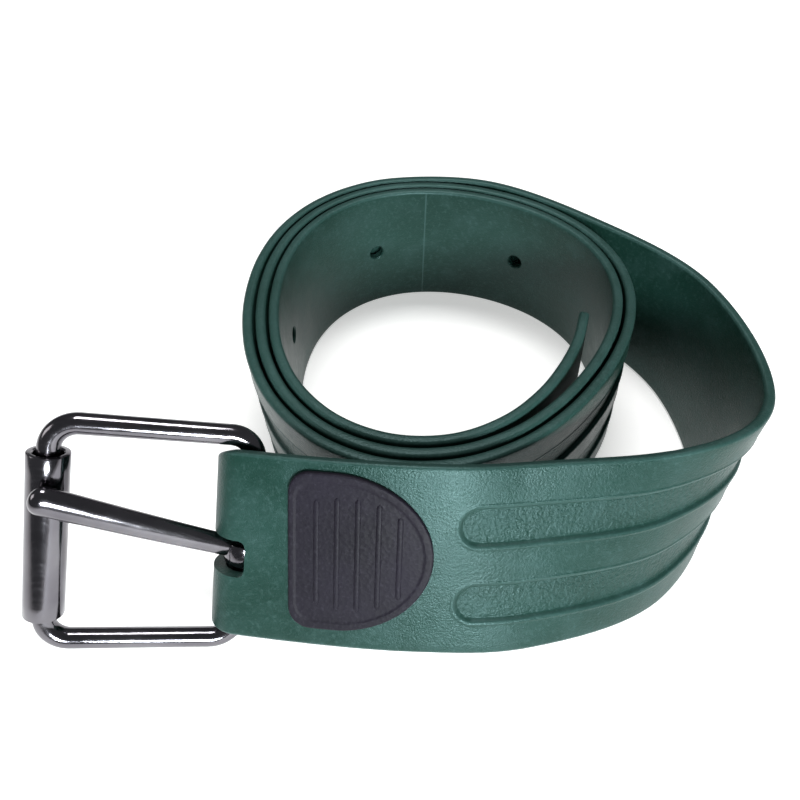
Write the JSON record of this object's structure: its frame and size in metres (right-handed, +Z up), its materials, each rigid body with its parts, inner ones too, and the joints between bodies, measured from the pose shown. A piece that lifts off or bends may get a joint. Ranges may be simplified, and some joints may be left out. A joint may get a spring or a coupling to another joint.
{
  "type": "dive weight belt",
  "caption": "Coiled moulded rubber dive weight belt with a round-wire roller buckle, hinged prong, punched holes and a bonded end patch.",
  "frame": {"origin": "middle of the whole belt's footprint, on the surface it stands on", "axes": "+Z up, along the strap's width in the coil; +X from the buckle towards the loose outer loop; +Y from the front run towards the back of the coil"},
  "size_m": [0.1948, 0.1646, 0.0664],
  "materials": {
    "green_rubber": "satin moulded rubber, dark green",
    "dark_rubber": "matte moulded rubber, near black",
    "steel": "polished stainless steel"
  },
  "bodies": {
    "belt": {"belt_strap": "green_rubber", "end_patch": "dark_rubber", "rivet_upper": "steel", "rivet_lower": "steel", "rivet_washer_upper": "steel", "rivet_washer_lower": "steel"},
    "frame": {"buckle_frame": "steel"},
    "roller": {"buckle_roller": "steel"},
    "prong": {"buckle_prong": "steel"}
  },
  "joints": [
    {"name": "frame_swing", "type": "hinge", "parent": "belt", "child": "frame", "pos_m": [-0.04452, -0.05826, 0.02884], "axis": [0.1649, 0.5539, 0.8161], "range_deg": [-34, 10]},
    {"name": "prong_swing", "type": "hinge", "parent": "frame", "child": "prong", "pos_m": [-0.04452, -0.05826, 0.02884], "axis": [0.1649, 0.5539, 0.8161], "range_deg": [0, 40]},
    {"name": "roller_spin", "type": "hinge", "parent": "frame", "child": "roller", "pos_m": [-0.08916, -0.06394, 0.04172], "axis": [0.1649, 0.5539, 0.8161], "continuous": true}
  ]
}
